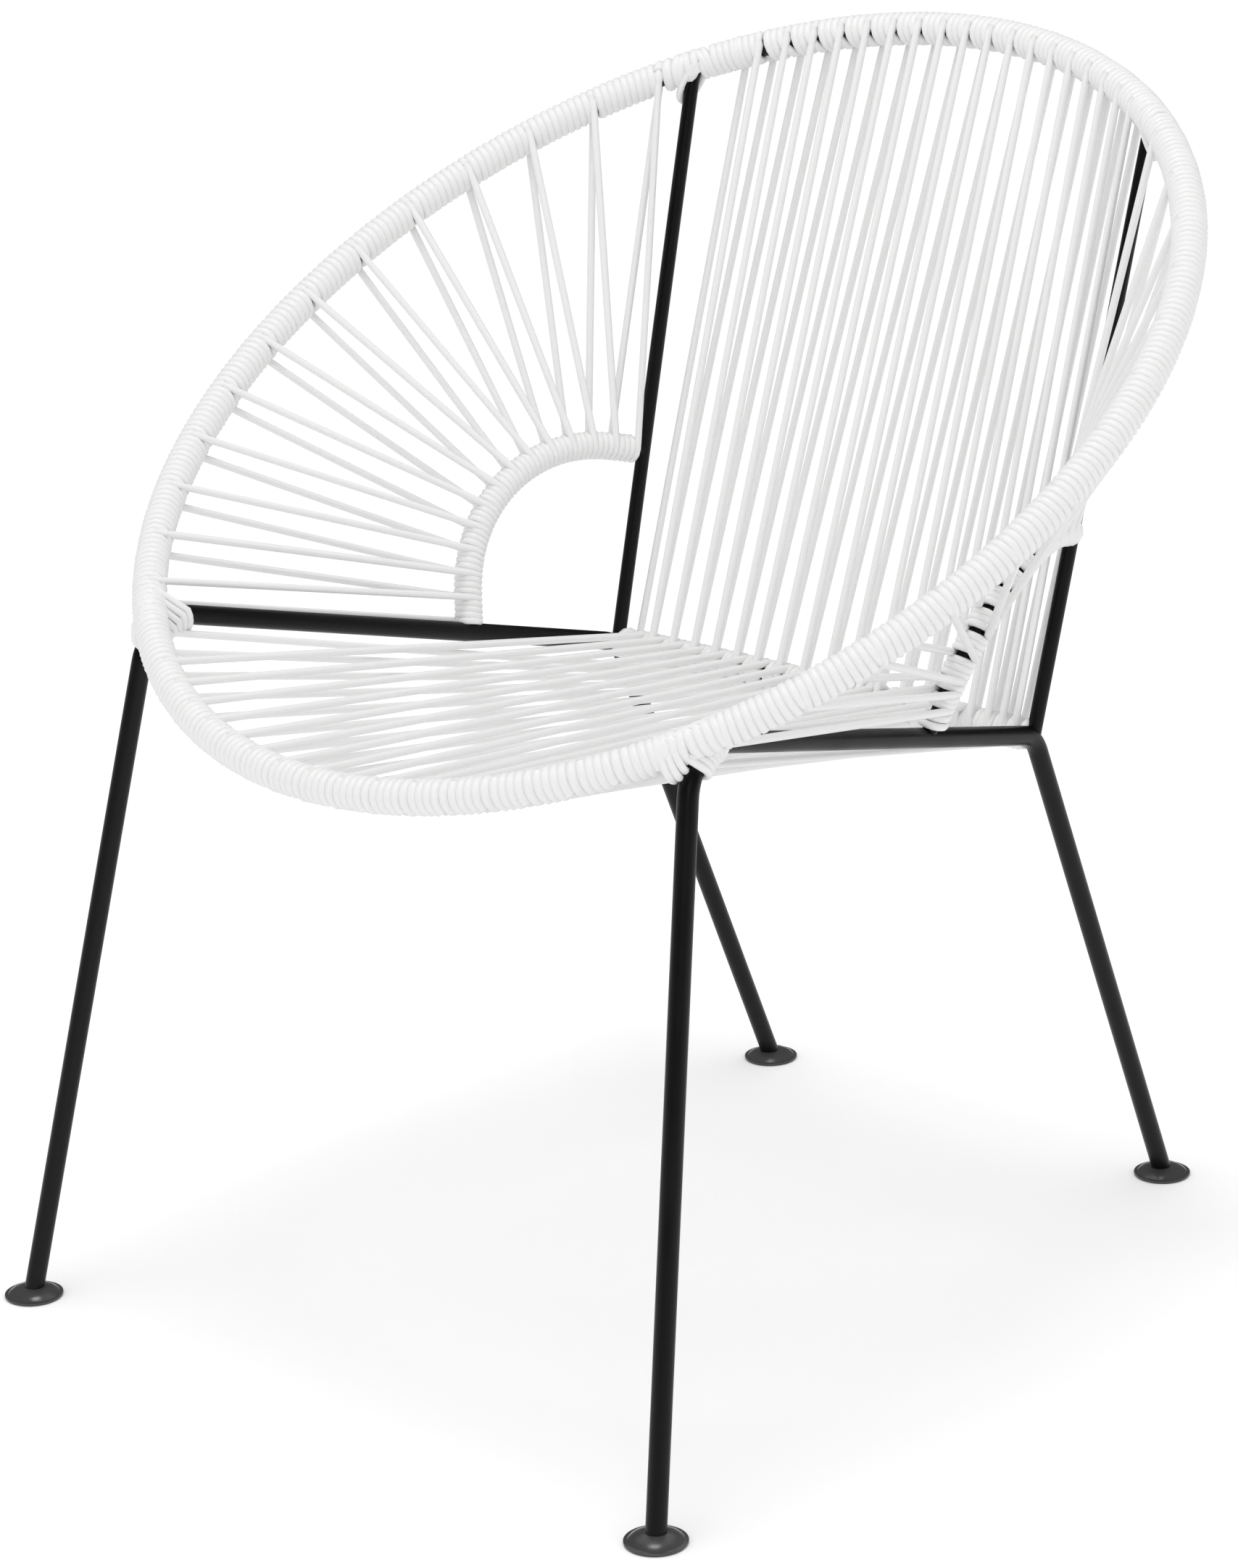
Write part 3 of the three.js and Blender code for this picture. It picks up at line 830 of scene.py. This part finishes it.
def hoopPiece():
    bpy.ops.object.select_all(action="DESELECT")
    bpy.ops.curve.primitive_bezier_circle_add(radius=1, location=(0, 0, 0))
    ring = bpy.context.view_layer.objects.active
    bpy.ops.object.mode_set(mode="EDIT")
    bpy.ops.curve.select_all(action="SELECT")
    bpy.ops.transform.resize(value=(chair["hoopHalfWidth"], chair["hoopHalfLength"], 1))
    bpy.ops.object.mode_set(mode="OBJECT")
    ring.data.resolution_u = rods["hoopSteps"]
    ring.data.bevel_depth = hoopRadius
    ring.data.bevel_resolution = rods["hoopBevel"]
    middle = Vector((0, 0, chair["hoopHeight"])) + shift
    ring.matrix_world = Matrix.Translation(middle) @ Matrix.Rotation(tilt, 4, "X")
    alone(ring)
    bpy.ops.object.convert(target="MESH")
    ring = bpy.context.view_layer.objects.active
    bpy.ops.object.transform_apply(location=True, rotation=True, scale=True)
    bpy.ops.object.shade_smooth()
    return ring


def armArc(side):
    route = [(mirrored(armPoint(run), side), 1.0) for run in evenStops(0, armLength, arm["steps"] + 1)]
    return cordPiece("armArc", [route], chair["armRod"], 20)


disc = {
    "sides": 56,
    "radius": 0.019,
    "rim": 0.0017,
    "dome": ((0.0168, 0.0019), (0.0155, 0.0031), (0.0125, 0.0048), (0.0085, 0.0059), (0.004, 0.0065)),
    "edge": 0.0003,
}


def footDisc(place):
    # a flat round blank whose top is drawn up into a low dome behind a thin rim
    bpy.ops.object.select_all(action="DESELECT")
    bpy.ops.mesh.primitive_cylinder_add(
        vertices=disc["sides"], radius=disc["radius"], depth=disc["rim"], location=(place.x, place.y, disc["rim"] / 2)
    )
    piece = bpy.context.view_layer.objects.active
    bpy.ops.object.transform_apply(location=True, rotation=True, scale=True)
    top = max(piece.data.polygons, key=lambda face: face.center.z if len(face.vertices) > 4 else -1).index
    bpy.ops.object.mode_set(mode="EDIT")
    bpy.ops.mesh.select_mode(type="FACE")
    bpy.ops.mesh.select_all(action="DESELECT")
    bpy.ops.object.mode_set(mode="OBJECT")
    piece.data.polygons[top].select = True
    bpy.ops.object.mode_set(mode="EDIT")
    radius, height = disc["radius"], disc["rim"]
    for nextRadius, nextHeight in disc["dome"]:
        bpy.ops.mesh.inset(thickness=radius - nextRadius, depth=0)
        bpy.ops.transform.translate(value=(0, 0, nextHeight - height))
        radius, height = nextRadius, nextHeight
    bpy.ops.object.mode_set(mode="OBJECT")
    edge = piece.modifiers.new("rimEdge", "BEVEL")
    edge.width = disc["edge"]
    edge.segments = 2
    edge.limit_method = "ANGLE"
    edge.angle_limit = math.radians(50)
    alone(piece)
    bpy.ops.object.modifier_apply(modifier=edge.name)
    bpy.ops.object.shade_smooth_by_angle(angle=math.radians(35))
    return piece


hands = (("left", 1), ("right", -1))
finished(hoopPiece(), "rimHoop", frameCoat, "rim_hoop")
rail = straightBar("rail", mirrored(rearCorner, -1), rearCorner, hoopRadius)
finished(rail, "rearCrossRail", frameCoat, "rear_cross_rail")
for hand, side in hands:
    finished(sideFrame(side), hand + "SideFrame", frameCoat, hand + "_side_frame")
    post = straightBar("post", mirrored(rearCorner, side), mirrored(postTop, side), chair["postRod"] / 2)
    finished(post, hand + "BackPost", frameCoat, hand + "_back_post")
    finished(armArc(side), hand + "ArmArc", frameCoat, hand + "_arm_arc")
    for end, foot in (("front", frontFoot), ("rear", rearFoot)):
        name, node = end + hand.capitalize() + "FootDisc", end + "_" + hand + "_foot_disc"
        finished(footDisc(mirrored(foot, side)), name, discPaintedSheenCoat, node)
print("frame made")

# the cord
finished(cordPiece("backCord", backCord(), chair["cord"]), "backCord", whiteCord, "back_cord")
finished(cordPiece("seatCord", seatCord(), chair["cord"]), "seatCord", whiteCord, "seat_cord")
for hand, side in hands:
    piece = cordPiece("sideCord", sideCord(side), chair["cord"])
    finished(piece, hand + "SideCord", whiteCord, hand + "_side_cord")
print("cord strung")

# camera, lights and floor; focal, across and down are in the photo's own pixels
view = {
    "place": (1.89034, -2.03375, 1.21571),
    "yaw": 0.755,
    "pitch": 0.318,
    "roll": -0.0323,
    "focal": 6313.47,
    "across": 14.53,
    "down": 43.36,
    "tall": 2164,
    "sensor": 36,
    "far": 50,
}


def photoCamera():
    level = math.cos(view["pitch"])
    back = Vector((math.sin(view["yaw"]) * level, -math.cos(view["yaw"]) * level, math.sin(view["pitch"])))
    right = (-back).cross(Vector((0, 0, 1))).normalized()
    up = right.cross(-back)
    cosine, sine = math.cos(view["roll"]), math.sin(view["roll"])
    right, up = right * cosine + up * sine, up * cosine - right * sine
    lens = bpy.data.cameras.new("photoCamera")
    lens.sensor_fit = "VERTICAL"
    lens.sensor_height = view["sensor"]
    lens.lens = view["focal"] * view["sensor"] / view["tall"]
    lens.shift_x = -view["across"] / view["tall"]
    lens.shift_y = view["down"] / view["tall"]
    lens.clip_end = view["far"]
    camera = bpy.data.objects.new("photoCamera", lens)
    camera.matrix_world = Matrix((right, up, back)).transposed().to_4x4()
    camera.location = view["place"]
    bpy.context.scene.collection.objects.link(camera)
    bpy.context.scene.camera = camera


def softLamp(name, place, aim, size, power):
    light = bpy.data.lights.new(name, "AREA")
    light.shape = "DISK"
    light.size = size
    light.energy = power
    lamp = bpy.data.objects.new(name, light)
    lamp.location = place
    lamp.rotation_euler = (Vector(aim) - Vector(place)).to_track_quat("-Z", "Y").to_euler()
    bpy.context.scene.collection.objects.link(lamp)


studio = {
    "lamps": (
        # name, place, aim, size, power
        ("topLamp", (-0.1, -0.2, 3.2), (0, 0, 0), 1.2, 14.0),
        ("frontLamp", (2.4, -2.4, 1.9), (0, 0, 0.4), 1.6, 6.0),
    ),
    "world": 1.24,
    "glossy": 0.10,  # glossy rays see a quieter room, so black rods stay black
    "floorSize": 60,
    "floorDrop": 0.0002,
    "floorColor": 0.92,
    "floorRoughness": 0.9,
    "floorGlow": 0.10,
    "paintedShadowReach": (0.22, 0.42),  # a painted shadow: the floor's own glow stays off a square this large between the feet, so the floor is darker there as under the chair
}


def studioWorld():
    world = bpy.data.worlds.new("studio")
    bpy.context.scene.world = world
    world.use_nodes = True
    nodes, links = world.node_tree.nodes, world.node_tree.links
    nodes.clear()
    out = nodes.new("ShaderNodeOutputWorld")
    path = nodes.new("ShaderNodeLightPath")
    light, shown = nodes.new("ShaderNodeBackground"), nodes.new("ShaderNodeBackground")
    dim = ranged(nodes, links, path.outputs["Is Glossy Ray"], 0, 1, studio["world"], studio["glossy"])
    links.new(dim, light.inputs["Strength"])
    shown.inputs["Strength"].default_value = 1
    seen = nodes.new("ShaderNodeMath")
    seen.operation = "MAXIMUM"
    links.new(path.outputs["Is Camera Ray"], seen.inputs[0])
    links.new(path.outputs["Is Transmission Ray"], seen.inputs[1])
    mix = nodes.new("ShaderNodeMixShader")
    links.new(seen.outputs[0], mix.inputs["Fac"])
    links.new(light.outputs[0], mix.inputs[1])
    links.new(shown.outputs[0], mix.inputs[2])
    links.new(mix.outputs[0], out.inputs["Surface"])


def studioFloor():
    bpy.ops.object.select_all(action="DESELECT")
    bpy.ops.mesh.primitive_plane_add(size=studio["floorSize"], location=(0, 0, -studio["floorDrop"]))
    floor = bpy.context.view_layer.objects.active
    floor.name = "floor"
    material = bpy.data.materials.new("paleFloor")
    material.use_nodes = True
    nodes, links = material.node_tree.nodes, material.node_tree.links
    shader = nodes["Principled BSDF"]
    shader.inputs["Base Color"].default_value = (studio["floorColor"],) * 3 + (1,)
    shader.inputs["Roughness"].default_value = studio["floorRoughness"]
    shader.inputs["Specular IOR Level"].default_value = 0
    # painted shadow: the glow rises from nothing inside a square between the feet to its full strength outside, so
    # the floor under the chair is darker
    place = nodes.new("ShaderNodeTexCoord")
    apart = nodes.new("ShaderNodeVectorMath")
    apart.operation = "ABSOLUTE"
    links.new(place.outputs["Object"], apart.inputs[0])
    sides = nodes.new("ShaderNodeSeparateXYZ")
    links.new(apart.outputs[0], sides.inputs[0])
    distance = nodes.new("ShaderNodeMath")
    distance.operation = "MAXIMUM"
    links.new(sides.outputs["X"], distance.inputs[0])
    links.new(sides.outputs["Y"], distance.inputs[1])
    glowBesidePaintedShadow = ranged(nodes, links, distance.outputs["Value"], *studio["paintedShadowReach"], 0, studio["floorGlow"])
    glowBesidePaintedShadow.node.interpolation_type = "SMOOTHSTEP"
    glow = nodes.new("ShaderNodeEmission")
    path = nodes.new("ShaderNodeLightPath")
    seen = nodes.new("ShaderNodeMath")
    seen.operation = "MULTIPLY"
    links.new(path.outputs["Is Camera Ray"], seen.inputs[0])
    links.new(glowBesidePaintedShadow, seen.inputs[1])
    links.new(seen.outputs[0], glow.inputs["Strength"])
    both = nodes.new("ShaderNodeAddShader")
    links.new(shader.outputs[0], both.inputs[0])
    links.new(glow.outputs[0], both.inputs[1])
    links.new(both.outputs[0], nodes["Material Output"].inputs["Surface"])
    floor.data.materials.append(material)


photoCamera()
studioWorld()
studioFloor()
for lamp in studio["lamps"]:
    softLamp(*lamp)
bpy.context.scene.view_settings.view_transform = "Standard"
print("studio made")
